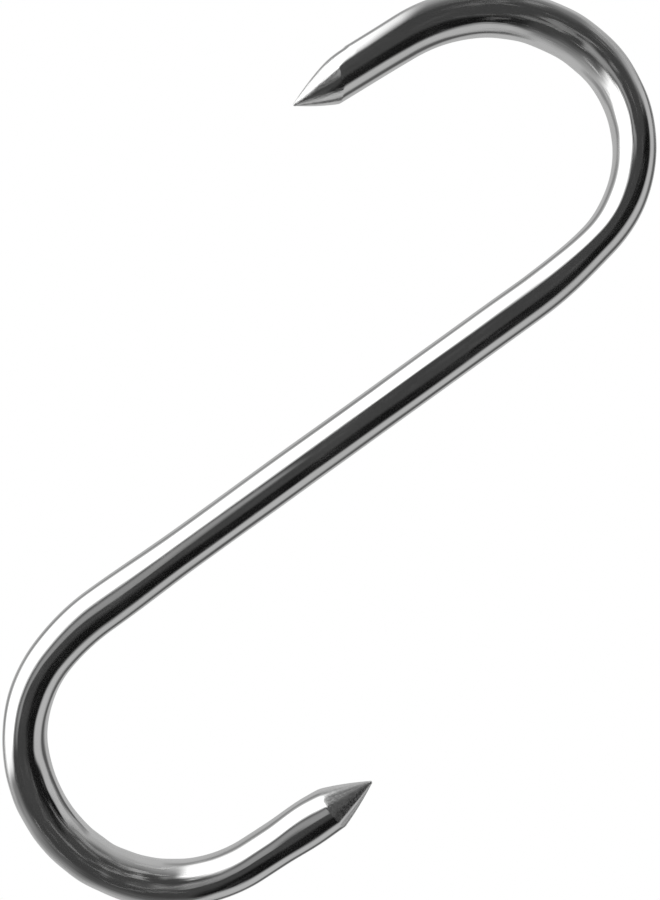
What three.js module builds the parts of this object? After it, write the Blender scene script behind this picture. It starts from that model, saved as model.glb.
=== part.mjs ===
// Meat hook: one length of polished stainless steel round bar, cold bent into a flat S,
// with both ends ground to a point.
//
// Millimetres. +Z is up and +Y is square to the plane of the S.
// The hook is modelled as it hangs, with its origin where the rail bears: the top of the
// inside of the upper bend. The load bears at the bottom of the inside of the lower bend,
// plumb below the origin.

import * as THREE from 'three';

// ------------------------------------------------------------------ driving dimensions

const barDiameter = 8;
const shankLength = 95.2;

// Each hook is a run of arcs of the bar's centreline, from the shank outward, and then a
// straight end. Radii and lengths are in millimetres, turns in degrees.
const railHook = {
  arcs: [
    { radius: 94, turn: 10.3 },
    { radius: 23.6, turn: 96.6 },
    { radius: 28.5, turn: 68.8 },
  ],
  straightEnd: 23.6,
};

const loadHook = {
  arcs: [
    { radius: 41.6, turn: 15.9 },
    { radius: 23.9, turn: 41.4 },
    { radius: 26.6, turn: 119.9 },
  ],
  straightEnd: 25.7,
};

// Bending pinched the bar in the plane of the S in some places and spread it in others.
// Each place is a distance along the bar from the middle of the shank. Its share of the
// diameter is added to the width in the plane, held over a length on either side and then
// fading.
const railSpreads = [
  { from: 62, hold: 0, fade: 12, share: -0.065 },
  { from: 80, hold: 10, fade: 15, share: -0.06 },
  { from: 132, hold: 2, fade: 12, share: 0.03 },
];

const loadSpreads = [
  { from: 47, hold: 0, fade: 20, share: 0.065 },
  { from: 75, hold: 0, fade: 9, share: -0.04 },
  { from: 92, hold: 4, fade: 12, share: 0.035 },
  { from: 144, hold: 0, fade: 7, share: 0.06 },
];

// The ground points. Each closes on its tip more steeply than it leaves the bar, so its
// side bulges slightly, and the tip itself is rounded off.
const pointLength = 8.7;
const pointBulge = 0.2;
const tipRadius = 0.35;

// How finely the solid is faceted.
const sidesRound = 24;
const bendStep = 2.4;
const straightStep = 6;
const pointSteps = 5;
const tipSteps = 2;

const barRadius = barDiameter / 2;

// ------------------------------------------------------------------ the centreline

// The centreline lies in a flat drawing plane as a list of stretches. Each stretch knows
// the distance along the bar where it starts, its first point and its first heading.
// A stretch with no turn is straight.
function layStretches(point, heading, pieces) {
  const stretches = [];
  let along = 0;
  for (const piece of pieces) {
    const length = piece.turn ? piece.radius * piece.turn : piece.length;
    const stretch = { along, length, point, heading, radius: piece.radius, turn: piece.turn };
    stretches.push(stretch);
    const end = placeOnStretch(stretch, length);
    along += length;
    point = end.point;
    heading = end.heading;
  }
  return stretches;
}

function direction(heading) {
  return new THREE.Vector2(Math.cos(heading), Math.sin(heading));
}

function leftOf(heading) {
  return direction(heading + Math.PI / 2);
}

function arcCentre(stretch) {
  return stretch.point.clone().addScaledVector(leftOf(stretch.heading), stretch.radius);
}

function placeOnStretch(stretch, distance) {
  if (!stretch.turn) {
    const point = stretch.point.clone().addScaledVector(direction(stretch.heading), distance);
    return { point, heading: stretch.heading };
  }
  const heading = stretch.heading + distance / stretch.radius;
  const point = arcCentre(stretch).addScaledVector(leftOf(heading), -stretch.radius);
  return { point, heading };
}

// Half of the hook, walked from the middle of the shank to a tip. Both halves turn left.
function layHalf(heading, hook) {
  const arcs = hook.arcs.map(({ radius, turn }) => ({
    radius,
    turn: THREE.MathUtils.degToRad(turn),
  }));
  const pieces = [{ length: shankLength / 2 }, ...arcs, { length: hook.straightEnd }];
  return layStretches(new THREE.Vector2(0, 0), heading, pieces);
}

function halfLength(stretches) {
  const last = stretches[stretches.length - 1];
  return last.along + last.length;
}

const railHalf = layHalf(0, railHook);
const loadHalf = layHalf(Math.PI, loadHook);
const railReach = halfLength(railHalf);
const loadReach = halfLength(loadHalf);

// The station is the distance along the bar from the middle of the shank, positive
// towards the rail hook. The heading always points towards the rail hook's tip.
function placeAtStation(station) {
  const towardsRail = station >= 0;
  const half = towardsRail ? railHalf : loadHalf;
  const distance = Math.abs(station);
  const onward = half.findLast((stretch) => stretch.along <= distance);
  const place = placeOnStretch(onward, distance - onward.along);
  if (!towardsRail) {
    place.heading += Math.PI;
  }
  return place;
}

// ------------------------------------------------------------------ the section

// How much of its share a place still adds at a distance from it, from 1 down to 0.
function strengthAt(distance, { from, hold, fade }) {
  const past = Math.abs(distance - from) - hold;
  const faded = THREE.MathUtils.clamp(past / fade, 0, 1);
  return (1 + Math.cos(Math.PI * faded)) / 2;
}

// Width in the plane of the S as a multiple of the bar's diameter. The section keeps its
// area, so the thickness across the plane is the inverse.
function widthFactor(station) {
  const spreads = station >= 0 ? railSpreads : loadSpreads;
  const distance = Math.abs(station);
  const added = spreads.map((spread) => spread.share * strengthAt(distance, spread));
  return 1 + added.reduce((total, share) => total + share, 0);
}

// ------------------------------------------------------------------ the straight blank

// Distances back from a tip, from the axis to the shoulder, with the radius at each: a
// round cap and then the bulging side.
function pointProfile() {
  const profile = [];
  for (let step = 0; step <= tipSteps; step += 1) {
    const angle = (Math.PI / 2) * (step / tipSteps);
    const back = tipRadius * (1 - Math.cos(angle));
    profile.push({ back, radius: tipRadius * Math.sin(angle) });
  }
  for (let step = 1; step <= pointSteps; step += 1) {
    const share = step / pointSteps;
    const bulged = share + pointBulge * share * (1 - share);
    const back = THREE.MathUtils.lerp(tipRadius, pointLength, share);
    profile.push({ back, radius: THREE.MathUtils.lerp(tipRadius, barRadius, bulged) });
  }
  return profile;
}

// Distances from the middle of the shank where the section needs a ring of corners,
// up to the shoulder of the point.
function ringDistances(stretches, reach) {
  const shoulder = reach - pointLength;
  const distances = [];
  for (const { along, length, turn } of stretches) {
    const end = Math.min(along + length, shoulder);
    const steps = Math.ceil((end - along) / (turn ? bendStep : straightStep));
    for (let step = 0; step < steps; step += 1) {
      distances.push(along + ((end - along) * step) / steps);
    }
  }
  return distances;
}

// The blank's outline from the load hook's tip to the rail hook's, as radius and station.
function blankProfile() {
  const loadPoint = pointProfile().map(({ back, radius }) => (
    new THREE.Vector2(radius, back - loadReach)));
  const loadBar = ringDistances(loadHalf, loadReach).reverse().map((distance) => (
    new THREE.Vector2(barRadius, -distance)));
  const railBar = ringDistances(railHalf, railReach).slice(1).map((distance) => (
    new THREE.Vector2(barRadius, distance)));
  const railPoint = pointProfile().reverse().map(({ back, radius }) => (
    new THREE.Vector2(radius, railReach - back)));
  return [...loadPoint, ...loadBar, ...railBar, ...railPoint];
}

// ------------------------------------------------------------------ hanging

// At rest the two seats lie in one plumb line, so the line between the centres of the
// arcs that hold them is plumb too. Both seats lie on the last arc of their hook.
function hangingFrame() {
  const railArc = railHalf[railHook.arcs.length];
  const loadArc = loadHalf[loadHook.arcs.length];
  const railCentre = arcCentre(railArc);
  const up = railCentre.clone().sub(arcCentre(loadArc)).normalize();
  const right = new THREE.Vector2(up.y, -up.x);
  const seatHeading = up.angle() + Math.PI / 2;
  const seatStation = railArc.along + (seatHeading - railArc.heading) * railArc.radius;
  const insideRadius = railArc.radius - barRadius * widthFactor(seatStation);
  const origin = railCentre.addScaledVector(up, insideRadius);
  return { origin, right, up };
}

// ------------------------------------------------------------------ the bent bar

function bendBlank(geometry) {
  const corners = geometry.getAttribute('position');
  const { origin, right, up } = hangingFrame();
  const corner = new THREE.Vector3();
  for (let index = 0; index < corners.count; index += 1) {
    corner.fromBufferAttribute(corners, index);
    const station = corner.y;
    const { point, heading } = placeAtStation(station);
    const factor = widthFactor(station);
    point.addScaledVector(leftOf(heading), corner.x * factor).sub(origin);
    corners.setXYZ(index, point.dot(right), corner.z / factor, point.dot(up));
  }
  geometry.computeVertexNormals();
  return geometry;
}

function hookBar() {
  const blank = new THREE.LatheGeometry(blankProfile(), sidesRound);
  const polishedSteel = new THREE.MeshStandardMaterial({
    color: 0xc4c4c0,
    roughness: 0.12,
    metalness: 1,
  });
  const bar = new THREE.Mesh(bendBlank(blank), polishedSteel);
  bar.name = 'hook_bar';
  return bar;
}

const meatHook = new THREE.Group();
meatHook.add(hookBar());

export default meatHook;
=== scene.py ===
"""Meat hook: one polished stainless steel bar bent into a flat S, with two ground points.

Metres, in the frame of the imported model: +Z up as the hook hangs, +Y square to the plane
of the S, and the origin where the rail bears on the inside of the upper bend.
"""

import math
from typing import NamedTuple

import bpy
import numpy as np
from mathutils import Matrix, Vector


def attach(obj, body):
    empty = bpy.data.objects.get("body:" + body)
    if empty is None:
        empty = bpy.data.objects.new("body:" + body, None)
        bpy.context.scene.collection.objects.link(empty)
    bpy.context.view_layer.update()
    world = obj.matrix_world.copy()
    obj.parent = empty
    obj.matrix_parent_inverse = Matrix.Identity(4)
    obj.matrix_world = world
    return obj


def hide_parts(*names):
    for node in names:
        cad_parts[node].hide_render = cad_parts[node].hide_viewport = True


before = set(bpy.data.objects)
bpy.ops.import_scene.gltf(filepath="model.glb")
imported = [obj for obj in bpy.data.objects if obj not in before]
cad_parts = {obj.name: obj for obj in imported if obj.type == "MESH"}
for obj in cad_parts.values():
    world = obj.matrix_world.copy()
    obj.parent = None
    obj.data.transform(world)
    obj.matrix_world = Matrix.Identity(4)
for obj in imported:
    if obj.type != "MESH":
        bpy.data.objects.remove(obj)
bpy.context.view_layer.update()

# ------------------------------------------------------------------ driving dimensions

BAR_RADIUS = 0.004
SHANK_LENGTH = 0.0952

# Arcs of the bar's centreline from the shank outward, as (radius, turn in degrees).
RAIL_ARCS = [(0.094, 10.3), (0.0236, 96.6), (0.0285, 68.8)]
RAIL_STRAIGHT_END = 0.0236
LOAD_ARCS = [(0.0416, 15.9), (0.0239, 41.4), (0.0266, 119.9)]
LOAD_STRAIGHT_END = 0.0257

# Places where bending pinched or spread the bar, as distance along the bar from the
# middle of the shank, length held, length faded over, and share added to the width.
RAIL_SPREADS = [
    (0.062, 0.0, 0.012, -0.065),
    (0.080, 0.010, 0.015, -0.06),
    (0.132, 0.002, 0.012, 0.03),
]
LOAD_SPREADS = [
    (0.047, 0.0, 0.020, 0.065),
    (0.075, 0.0, 0.009, -0.04),
    (0.092, 0.004, 0.012, 0.035),
    (0.144, 0.0, 0.007, 0.06),
]

# The ground points. The grinder left each shoulder a little out of square with the bar
# and rounded parts of it over. Both points have the same mean length. Each has how much
# longer it is on its left and on its far (+Y) side, how round its shoulder is on the left,
# and how high its facets are as a share of its radius. A negative length is shorter
# there, and a negative rounding is on the right instead.
POINT_LENGTH = 0.0087
POINT_BULGE = 0.2
TIP_RADIUS = 0.00035
CRISP_EDGE = 0.00005
RAIL_POINT = {"left": -0.0009, "far": -0.0011, "round_left": -0.0007, "facets": 0.004}
LOAD_POINT = {"left": -0.0003, "far": 0.0002, "round_left": -0.0002, "facets": 0.011}

# Facets, as waves round the point: how many, relative height and phase. They grow from
# nothing at the tip to full height a third of the way to the shoulder.
FACET_WAVES = [(5, 1.0, 0.8), (8, 0.7, 2.4), (13, 0.5, 1.1)]
FACET_GROWTH = 3

# Mesh fineness.
SIDES = 160
RING_STEP = 0.0006
TIP_RINGS = 22
EDGE_RINGS = 16
EDGE_SHARE = 0.3
CAP_RINGS = 5

# ------------------------------------------------------------------ the centreline


class Stretch(NamedTuple):
    """A straight or an arc of the centreline, in a flat drawing plane."""

    start: float
    length: float
    point: np.ndarray
    heading: float
    radius: float | None


def heading_vectors(headings):
    return np.stack((np.cos(headings), np.sin(headings)), axis=-1)


def arc_centre(arc):
    return arc.point + heading_vectors(arc.heading + math.pi / 2) * arc.radius


def place_on_stretch(stretch, distance):
    distance = np.asarray(distance)
    if stretch.radius is None:
        onward = heading_vectors(stretch.heading) * distance[..., None]
        return stretch.point + onward, stretch.heading
    turned = stretch.heading + distance / stretch.radius
    outward = heading_vectors(turned + math.pi / 2) * stretch.radius
    return arc_centre(stretch) - outward, turned


def lay_half(heading, arcs, straight_end):
    """The stretches of one half, from the middle of the shank to a tip."""
    stretches = []
    point = np.zeros(2)
    along = 0.0
    straights_and_arcs = [(None, SHANK_LENGTH / 2)]
    straights_and_arcs += [(radius, radius * math.radians(turn)) for radius, turn in arcs]
    straights_and_arcs += [(None, straight_end)]
    for radius, length in straights_and_arcs:
        stretches.append(Stretch(along, length, point, heading, radius))
        point, heading = place_on_stretch(stretches[-1], length)
        along += length
    return stretches


def reach_of(half):
    return half[-1].start + half[-1].length


RAIL_HALF = lay_half(0.0, RAIL_ARCS, RAIL_STRAIGHT_END)
LOAD_HALF = lay_half(math.pi, LOAD_ARCS, LOAD_STRAIGHT_END)
RAIL_REACH = reach_of(RAIL_HALF)
LOAD_REACH = reach_of(LOAD_HALF)


def place_at_stations(stations):
    """Points and headings in the drawing plane. Stations are positive towards the rail hook."""
    points = np.zeros(stations.shape + (2,))
    headings = np.zeros(stations.shape)
    for sign, half in ((1, RAIL_HALF), (-1, LOAD_HALF)):
        for stretch in half:
            distance = stations * sign - stretch.start
            is_last = stretch is half[-1]
            here = (distance >= 0) & ((distance < stretch.length) | is_last)
            placed, turned = place_on_stretch(stretch, distance[here])
            points[here] = placed
            headings[here] = turned if sign > 0 else turned + math.pi
    return points, headings


def strength(distance, centre, hold, fade):
    """1 within the held length of the centre, falling smoothly to 0 over the faded length."""
    faded = np.clip((abs(distance - centre) - hold) / fade, 0, 1)
    return (1 + np.cos(np.pi * faded)) / 2


def added_width(distance, spreads):
    return sum(share * strength(distance, *place) for *place, share in spreads)


def width_factor(stations):
    """Width in the plane of the S, as a multiple of the bar's diameter."""
    return 1 + added_width(stations, RAIL_SPREADS) + added_width(-stations, LOAD_SPREADS)


def hanging_frame():
    """Origin and axes of the hanging hook in the drawing plane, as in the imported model."""
    rail_arc = RAIL_HALF[len(RAIL_ARCS)]
    load_arc = LOAD_HALF[len(LOAD_ARCS)]
    rail_centre = arc_centre(rail_arc)
    up = rail_centre - arc_centre(load_arc)
    up /= np.linalg.norm(up)
    right = np.array([up[1], -up[0]])
    turned = math.atan2(up[1], up[0]) + math.pi / 2 - rail_arc.heading
    station = rail_arc.start + turned * rail_arc.radius
    inside = rail_arc.radius - BAR_RADIUS * width_factor(station)
    return rail_centre + up * inside, right, up


ORIGIN, RIGHT, UP = hanging_frame()

# ------------------------------------------------------------------ the bar's surface

# Shallow waves in the skin, strongest where the bender gripped and stretched it: middle
# and half length of each stretch of them, shortest and longest wave along the bar, most
# waves round it, and slope.
WAVY_STRETCHES = [
    (0.0, 0.200, 0.012, 0.040, 4, 0.0020),
    (0.0, 0.200, 0.030, 0.090, 26, 0.0065),
    (0.104, 0.032, 0.005, 0.012, 5, 0.0110),
    (0.104, 0.044, 0.016, 0.050, 26, 0.0220),
    (-0.100, 0.036, 0.004, 0.010, 6, 0.0150),
    (-0.098, 0.050, 0.016, 0.050, 26, 0.0220),
]
WAVES_EACH = 9
WAVES_SEED = 8

ANGLES = 2 * np.pi * np.arange(SIDES) / SIDES


def skin_height(stations):
    """Height of the waves, which are drawn at random and come out the same each run."""
    draw = np.random.default_rng(WAVES_SEED)
    height = np.zeros(stations.shape)
    for middle, half, shortest, longest, most_round, slope in WAVY_STRETCHES:
        window = strength(stations, middle, 0.0, half)
        for _ in range(WAVES_EACH):
            along = 2 * np.pi / draw.uniform(shortest, longest)
            around = draw.integers(-most_round, most_round + 1)
            steepness = math.hypot(along, around / BAR_RADIUS)
            ripple = np.sin(along * stations + around * ANGLES + draw.uniform(0, 2 * np.pi))
            height += slope / steepness * window * ripple
    return height


def facet_factor(facets):
    """The grinder's facets, as small swellings and flats round a point."""
    waves = (size * np.cos(count * ANGLES + phase) for count, size, phase in FACET_WAVES)
    return facets * sum(waves)


def point_radii(share, point):
    """Radii at a share of the way from the tip to the shoulder, or past it."""
    bulged = share + POINT_BULGE * share * (1 - share)
    ground = TIP_RADIUS + (BAR_RADIUS - TIP_RADIUS) * bulged
    ground = ground * (1 + facet_factor(point["facets"]) * min(share * FACET_GROWTH, 1))
    rounding = CRISP_EDGE + np.maximum(point["round_left"] * np.cos(ANGLES), 0)
    return (ground + BAR_RADIUS - np.hypot(ground - BAR_RADIUS, rounding)) / 2


def point_shares():
    """Shares from the tip to just past the shoulder, closest together at the shoulder."""
    shares = [(1 - EDGE_SHARE) * ring / TIP_RINGS for ring in range(TIP_RINGS)]
    for ring in range(-EDGE_RINGS, EDGE_RINGS + 1):
        offset = EDGE_SHARE * (abs(ring) / EDGE_RINGS) ** 2
        shares.append(1 + math.copysign(offset, ring))
    return shares


def point_rings(point):
    """Rings from the tip to past the shoulder, as distances back from the tip, radii, and
    1 where the surface is ground."""
    rings = []
    for ring in range(1, CAP_RINGS):
        tilt = math.pi / 2 * ring / CAP_RINGS
        back = TIP_RADIUS * (1 - math.cos(tilt))
        radius = TIP_RADIUS * math.sin(tilt)
        rings.append((np.full(SIDES, back), np.full(SIDES, radius), 1.0))
    side = point["left"] * np.cos(ANGLES) + point["far"] * np.sin(ANGLES)
    for share in point_shares():
        backs = TIP_RADIUS + (POINT_LENGTH + side - TIP_RADIUS) * share
        rings.append((backs, point_radii(share, point), 1.0 if share <= 1 else 0.0))
    return rings


def bar_rings():
    """Every ring from the load hook's tip to the rail hook's: stations, radii, ground."""
    load_end = []
    for backs, radii, ground in point_rings(LOAD_POINT):
        load_end.append((backs - LOAD_REACH, radii, ground))
    rail_end = []
    for backs, radii, ground in reversed(point_rings(RAIL_POINT)):
        rail_end.append((RAIL_REACH - backs, radii, ground))
    start = load_end[-1][0]
    end = rail_end[0][0]
    count = round((end.mean() - start.mean()) / RING_STEP)
    plain = np.full(SIDES, BAR_RADIUS)
    middle = [(start + (end - start) * ring / count, plain, 0.0) for ring in range(1, count)]
    return load_end + middle + rail_end


def bend(stations, left, out):
    """Points of the bent bar, from their places on the straight blank."""
    points, headings = place_at_stations(stations)
    factor = width_factor(stations)
    sideways = heading_vectors(headings + math.pi / 2) * (left * factor)[..., None]
    flat = points + sideways - ORIGIN
    return np.stack((flat @ RIGHT, out / factor, flat @ UP), axis=-1)


def bar_faces(rings):
    """Quads between the rings, then a fan at each tip. The tips are the last two corners."""
    faces = []
    for ring in range(rings - 1):
        for side in range(SIDES):
            following = (side + 1) % SIDES
            low = ring * SIDES
            high = low + SIDES
            faces.append((low + side, high + side, high + following, low + following))
    load_tip = rings * SIDES
    last = load_tip - SIDES
    for side in range(SIDES):
        following = (side + 1) % SIDES
        faces.append((load_tip, side, following))
        faces.append((load_tip + 1, last + following, last + side))
    return faces


def store_on_points(mesh, name, kind, field, values):
    mesh.attributes.new(name, kind, "POINT").data.foreach_set(field, values)


def make_bar():
    rings = bar_rings()
    stations, radii, ground = (np.array(values) for values in zip(*rings))
    raised = radii + skin_height(stations) * radii / BAR_RADIUS
    stations = np.append(stations.ravel(), (-LOAD_REACH, RAIL_REACH))
    left = np.append((raised * np.cos(ANGLES)).ravel(), (0.0, 0.0))
    out = np.append((raised * np.sin(ANGLES)).ravel(), (0.0, 0.0))
    ground = np.append(np.repeat(ground, SIDES), (1.0, 1.0))
    mesh = bpy.data.meshes.new("hook_bar_steel")
    mesh.from_pydata(bend(stations, left, out).tolist(), [], bar_faces(len(rings)))
    blank = np.stack((left, stations, out), axis=-1)
    store_on_points(mesh, "blank", "FLOAT_VECTOR", "vector", blank.ravel())
    store_on_points(mesh, "ground", "FLOAT", "value", ground)
    mesh.shade_smooth()
    bar = bpy.data.objects.new("hook_bar_steel", mesh)
    # The bar reflects only the studio, not its own other parts.
    bar.visible_glossy = False
    bpy.context.scene.collection.objects.link(bar)
    return bar


# ------------------------------------------------------------------ node helpers

# How strong each finer layer of a noise is against the one before it.
NOISE_ROUGHNESS = 0.6


class Nodes:
    """Adds shader nodes to a tree, with short calls for the ones used most."""

    def __init__(self, tree):
        self.tree = tree

    def feed(self, node, inputs):
        """Sets inputs of a node, or links them where the value is another node's output."""
        for name, value in inputs.items():
            if isinstance(value, bpy.types.NodeSocket):
                self.tree.links.new(value, node.inputs[name])
            else:
                node.inputs[name].default_value = value

    def add(self, kind, inputs, **settings):
        node = self.tree.nodes.new(kind)
        for name, value in settings.items():
            setattr(node, name, value)
        self.feed(node, inputs)
        return node

    def attribute(self, name, output):
        return self.add("ShaderNodeAttribute", {}, attribute_name=name).outputs[output]

    def math(self, operation, *values):
        inputs = dict(enumerate(values))
        return self.add("ShaderNodeMath", inputs, operation=operation).outputs[0]

    def vector_math(self, operation, *values):
        inputs = dict(enumerate(values))
        return self.add("ShaderNodeVectorMath", inputs, operation=operation)

    def dot(self, vector, fixed):
        return self.vector_math("DOT_PRODUCT", vector, tuple(fixed)).outputs["Value"]

    def fade(self, value, start, end, low=0.0, high=1.0):
        """Goes smoothly from low to high while the value goes from start to end."""
        inputs = {
            "Value": value,
            "From Min": start,
            "From Max": end,
            "To Min": low,
            "To Max": high,
        }
        node = self.add("ShaderNodeMapRange", inputs, interpolation_type="SMOOTHSTEP")
        return node.outputs[0]

    # A Mix node has its own value sockets for each kind of value, under the same names,
    # so these two pick them by number.

    def blend(self, share, first, second):
        inputs = {"Factor": share, 2: first, 3: second}
        return self.add("ShaderNodeMix", inputs).outputs[0]

    def blend_colours(self, share, first, second):
        inputs = {"Factor": share, 6: first, 7: second}
        return self.add("ShaderNodeMix", inputs, data_type="RGBA").outputs[2]

    def noise(self, vector, scale, detail, along=1.0, turned=0.0):
        """Noise, drawn out into streaks along Y where along is small. Turned is in radians."""
        mapping = {
            "Vector": vector,
            "Rotation": (turned, 0.0, turned),
            "Scale": (1.0, along, 1.0),
        }
        placed = self.add("ShaderNodeMapping", mapping).outputs["Vector"]
        inputs = {
            "Vector": placed,
            "Scale": scale,
            "Detail": detail,
            "Roughness": NOISE_ROUGHNESS,
        }
        return self.add("ShaderNodeTexNoise", inputs).outputs["Fac"]


def new_material(name):
    material = bpy.data.materials.new(name)
    material.use_nodes = True
    tree = material.node_tree
    return material, Nodes(tree), tree.nodes["Principled BSDF"]


# ------------------------------------------------------------------ steel

# Textures of the bar and of its ground points. Scales are per metre of the straight
# blank, except that the grinding lines have coordinates of their own.
DRAW_LINES = {"scale": 3200.0, "detail": 3.0, "along": 0.02}
HAIRLINES = {"scale": 7000.0, "detail": 1.0, "along": 0.05, "turned": 0.16}
CLOUDS = {"scale": 260.0, "detail": 3.0, "along": 0.25}
TRACKS = {"scale": 1500.0, "detail": 3.0, "along": 0.05, "turned": 0.02}
GRIND_LINES = {"scale": 9.0, "detail": 4.0}
GRIND_HATCH = {"scale": 2600.0, "detail": 2.0}

# Noise levels between which each texture goes from nothing to its full effect.
SCUFF_LEVELS = (0.70, 0.80)
CLOUD_LEVELS = (0.35, 0.70)
TRACK_LEVELS = (0.50, 0.66)
SATIN_LEVELS = (0.30, 0.70)
TONE_LEVELS = (0.30, 0.70)

# Distances from the middle of the shank where the bender's tracks are faint and where
# they are full, on the shank side of a bend and on its tip side, and how faint they get.
TRACKS_SHANK_SIDE = (0.074, 0.094)
TRACKS_TIP_SIDE = (0.134, 0.116)
FAINT_TRACKS = 0.2

# Roughness: the bar from clean to handled, what scuffs and tracks add, and the satin of
# the points. The rail point is ground finer and has only a share of the satin's. The
# change between the two lies along the shank, where nothing is ground.
BAR_ROUGHNESS = (0.06, 0.12)
SCUFF_ROUGHNESS = 0.10
TRACK_ROUGHNESS = 0.32
SATIN_ROUGHNESS = (0.16, 0.27)
RAIL_POINT_SHARE = 0.35
FINER_BETWEEN = (-0.05, 0.05)

# Relief in metres.
DRAW_LINE_HEIGHT = 0.0000012
SCUFF_HEIGHT = -0.0000010
TRACK_HEIGHT = 0.000030
GRIND_HEIGHT = 0.000040

BRIGHT_STEEL = (0.88, 0.88, 0.88, 1.0)
DULL_STEEL = (0.80, 0.80, 0.795, 1.0)

# How far a metre along the bar moves the grinding lines' noise. A radian round it is 1.
GRIND_LENGTHWISE = 60.0


def track_share(nodes, station):
    """How strongly the bender's tracks show: full in both bends and faint elsewhere."""
    reach = nodes.math("ABSOLUTE", station)
    shank_side = nodes.fade(reach, *TRACKS_SHANK_SIDE, FAINT_TRACKS, 1.0)
    tip_side = nodes.fade(reach, *TRACKS_TIP_SIDE, FAINT_TRACKS, 1.0)
    return nodes.math("MULTIPLY", shank_side, tip_side)


def grinding_rays(nodes, blank):
    """Places that change quickly round the point and slowly from its tip to its shoulder."""
    across = nodes.vector_math("MULTIPLY", blank, (1.0, 0.0, 1.0)).outputs[0]
    round_the_point = nodes.vector_math("NORMALIZE", across).outputs[0]
    lengthwise = nodes.vector_math("MULTIPLY", blank, (0.0, GRIND_LENGTHWISE, 0.0)).outputs[0]
    return nodes.vector_math("ADD", round_the_point, lengthwise).outputs[0]


def bar_roughness(nodes, clouds, scuffs, tracks, shown):
    """Nearly a mirror, clouded by handling."""
    polish = nodes.fade(clouds, *CLOUD_LEVELS, *BAR_ROUGHNESS)
    scuffed = nodes.math("MULTIPLY_ADD", scuffs, SCUFF_ROUGHNESS, polish)
    marks = nodes.math("MULTIPLY", nodes.fade(tracks, *TRACK_LEVELS), shown)
    return nodes.math("MULTIPLY_ADD", marks, TRACK_ROUGHNESS, scuffed)


def point_roughness(nodes, blank, station):
    """Satin where the bar was ground."""
    satin = nodes.fade(nodes.noise(blank, **GRIND_HATCH), *SATIN_LEVELS, *SATIN_ROUGHNESS)
    return nodes.math("MULTIPLY", satin, nodes.fade(station, *FINER_BETWEEN, 1.0, RAIL_POINT_SHARE))


def bar_relief(nodes, blank, scuffs, tracks, shown):
    drawn = nodes.math("MULTIPLY", nodes.noise(blank, **DRAW_LINES), DRAW_LINE_HEIGHT)
    scratched = nodes.math("MULTIPLY_ADD", scuffs, SCUFF_HEIGHT, drawn)
    tracked = nodes.math("MULTIPLY", tracks, shown)
    return nodes.math("MULTIPLY_ADD", tracked, TRACK_HEIGHT, scratched)


def steel_material():
    """Mirror-polished bar with draw lines, scuffs and bending tracks, and satin points."""
    material, nodes, shader = new_material("polished_stainless_steel")
    blank = nodes.attribute("blank", "Vector")
    ground = nodes.attribute("ground", "Fac")
    station = nodes.dot(blank, (0.0, 1.0, 0.0))
    clouds = nodes.noise(blank, **CLOUDS)
    scuffs = nodes.fade(nodes.noise(blank, **HAIRLINES), *SCUFF_LEVELS)
    tracks = nodes.noise(blank, **TRACKS)
    shown = track_share(nodes, station)
    grind_lines = nodes.noise(grinding_rays(nodes, blank), **GRIND_LINES)

    polished = bar_roughness(nodes, clouds, scuffs, tracks, shown)
    roughness = nodes.blend(ground, polished, point_roughness(nodes, blank, station))
    tone = nodes.fade(nodes.blend(ground, clouds, grind_lines), *TONE_LEVELS)
    colour = nodes.blend_colours(tone, BRIGHT_STEEL, DULL_STEEL)
    cut = nodes.math("MULTIPLY", grind_lines, GRIND_HEIGHT)
    relief = nodes.blend(ground, bar_relief(nodes, blank, scuffs, tracks, shown), cut)
    bump = nodes.add("ShaderNodeBump", {"Height": relief, "Distance": 1.0, "Strength": 1.0})

    surface = {
        "Metallic": 1.0,
        "Roughness": roughness,
        "Base Color": colour,
        "Normal": bump.outputs["Normal"],
    }
    nodes.feed(shader, surface)
    return material


# ------------------------------------------------------------------ camera

LENS = 40.0
SENSOR = 36.0
NEAREST_SEEN = 0.01
PICTURE_HEIGHT = 0.1625
SHANK_SLOPE_IN_PICTURE = math.radians(35.8)
AIM_RIGHT = 0.0030
AIM_UP = 0.0011


def picture_axes():
    """Right, up and towards the camera, for a picture that shows the shank at its slope."""
    shank = heading_vectors(RAIL_HALF[0].heading)
    roll = math.atan2(shank @ UP, shank @ RIGHT) - SHANK_SLOPE_IN_PICTURE
    right = Vector((math.cos(roll), 0.0, math.sin(roll)))
    up = Vector((-math.sin(roll), 0.0, math.cos(roll)))
    return right, up, Vector((0.0, -1.0, 0.0))


def make_camera():
    """Looks square at the plane of the S, aimed just off the middle of the shank."""
    flat = RAIL_HALF[0].point - ORIGIN
    middle = Vector((flat @ RIGHT, 0.0, flat @ UP))
    right, up, back = picture_axes()
    aim = middle + right * AIM_RIGHT + up * AIM_UP
    data = bpy.data.cameras.new("camera")
    data.lens = LENS
    data.sensor_width = SENSOR
    data.clip_start = NEAREST_SEEN
    camera = bpy.data.objects.new("camera", data)
    distance = PICTURE_HEIGHT * LENS / SENSOR
    rotation = Matrix((right, up, back)).transposed().to_4x4()
    camera.matrix_world = Matrix.Translation(aim + back * distance) @ rotation
    bpy.context.scene.collection.objects.link(camera)
    bpy.context.scene.camera = camera


# ------------------------------------------------------------------ studio

# A plain studio, dark behind the camera and light beyond the hook, with a few soft cards.
# Bearings are degrees from the picture's right, turning towards its top. Tilts are
# degrees away from the camera. Only glossy rays see this studio, and all others see
# plain white.
DARK_TILT = 40
LIGHT_TILT = 130
DARK_SIDE = 0.05
LIGHT_SIDE = 0.5
CARD_SOFTNESS = 15
WHITE_SURROUNDINGS = 1.0

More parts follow.
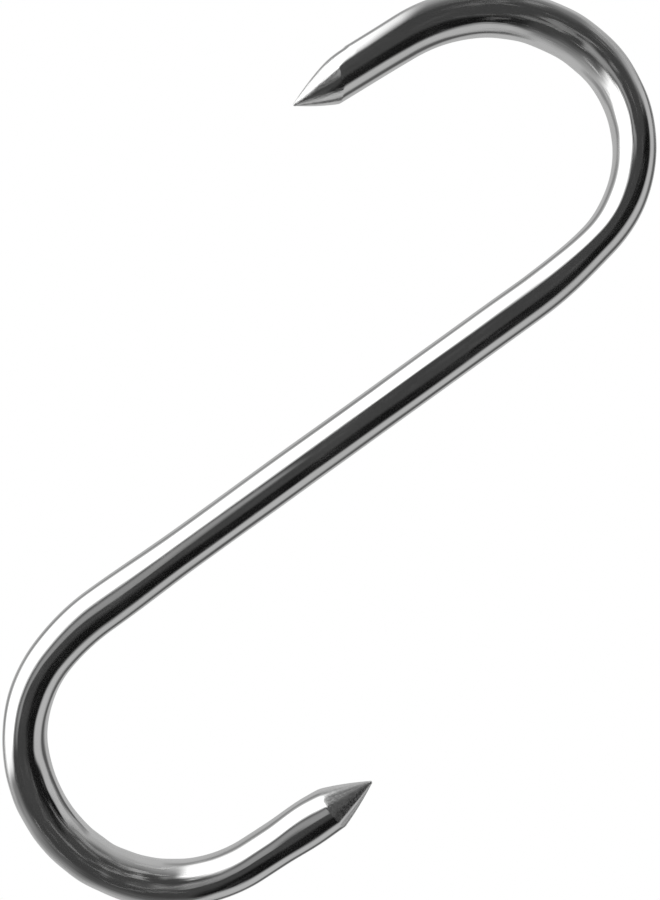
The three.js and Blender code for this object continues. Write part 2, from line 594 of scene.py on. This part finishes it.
# First and last bearing, first and last tilt, brightness. Where two cards overlap, the
# later one shows.
CARDS = {
    "grey_card": (135, 215, 10, 30, 0.3),
    "black_flag": (265, 390, 30, 70, 0.005),
    "floor_glow": (260, 400, 75, 105, 0.5),
    "floor_edge": (260, 400, 110, 135, 0.1),
    "softbox": (105, 205, 40, 105, 1.5),
    "softbox_frame": (100, 215, 115, 130, 0.25),
}


def card_light(nodes, bearing, tilt, light, card):
    """The light so far, with a soft-edged card over it."""
    first, last, near, far, brightness = card
    soft = CARD_SOFTNESS / 2
    spread = (last - first) / 2
    offset = nodes.math("SUBTRACT", bearing, first + spread)
    beside = nodes.math("ABSOLUTE", nodes.math("WRAP", offset, 180.0, -180.0))
    sides = nodes.fade(beside, spread + soft, spread - soft)
    opening = nodes.fade(tilt, near - soft, near + soft)
    closing = nodes.fade(tilt, far + soft, far - soft)
    shown = nodes.math("MULTIPLY", sides, nodes.math("MULTIPLY", opening, closing))
    return nodes.blend(shown, light, brightness)


def make_world():
    world = bpy.data.worlds.new("studio")
    world.use_nodes = True
    tree = world.node_tree
    nodes = Nodes(tree)
    right, up, back = picture_axes()
    toward = nodes.add("ShaderNodeTexCoord", {}).outputs["Generated"]
    across = nodes.dot(toward, right)
    above = nodes.dot(toward, up)
    tilt = nodes.math("DEGREES", nodes.math("ARCCOSINE", nodes.dot(toward, back)))
    bearing = nodes.math("DEGREES", nodes.math("ARCTAN2", above, across))
    light = nodes.fade(tilt, DARK_TILT, LIGHT_TILT, DARK_SIDE, LIGHT_SIDE)
    for card in CARDS.values():
        light = card_light(nodes, bearing, tilt, light, card)
    is_glossy = nodes.add("ShaderNodeLightPath", {}).outputs["Is Glossy Ray"]
    shown = nodes.blend(is_glossy, WHITE_SURROUNDINGS, light)
    nodes.feed(tree.nodes["Background"], {"Color": shown})
    bpy.context.scene.world = world


# ------------------------------------------------------------------ floor

FLOOR_LEVEL = -0.50
FLOOR_RADIUS = 0.45
FLOOR_GRAIN = {"scale": 40.0, "detail": 4.0}
FLOOR_GRAIN_LEVELS = (0.3, 0.7)
FLOOR_SHADES = (0.80, 0.84)
FLOOR_RIM_SHADE = 1.0
FLOOR_ROUGHNESS = 0.9


def floor_material():
    """Pale matt grey that pales to the white of the surroundings at the rim."""
    material, nodes, shader = new_material("pale_floor")
    place = nodes.add("ShaderNodeTexCoord", {}).outputs["Object"]
    reach = nodes.vector_math("LENGTH", place).outputs["Value"]
    pale = nodes.fade(nodes.noise(place, **FLOOR_GRAIN), *FLOOR_GRAIN_LEVELS, *FLOOR_SHADES)
    shade = nodes.blend(nodes.fade(reach, 0.0, FLOOR_RADIUS), pale, FLOOR_RIM_SHADE)
    surface = {
        "Roughness": FLOOR_ROUGHNESS,
        "Specular IOR Level": 0.0,
        "Base Color": shade,
    }
    nodes.feed(shader, surface)
    return material


def make_floor():
    corners = []
    for angle in ANGLES:
        corners.append((FLOOR_RADIUS * math.cos(angle), FLOOR_RADIUS * math.sin(angle), 0.0))
    mesh = bpy.data.meshes.new("floor")
    mesh.from_pydata(corners, [], [tuple(range(SIDES))])
    mesh.materials.append(floor_material())
    floor = bpy.data.objects.new("floor", mesh)
    floor.location = (0.0, 0.0, FLOOR_LEVEL)
    floor.visible_glossy = False
    bpy.context.scene.collection.objects.link(floor)


# ------------------------------------------------------------------ the scene

bar = make_bar()
bar.data.materials.append(steel_material())
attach(bar, "root")
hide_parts("hook_bar")
make_floor()
make_camera()
make_world()
bpy.context.scene.view_settings.view_transform = "Standard"
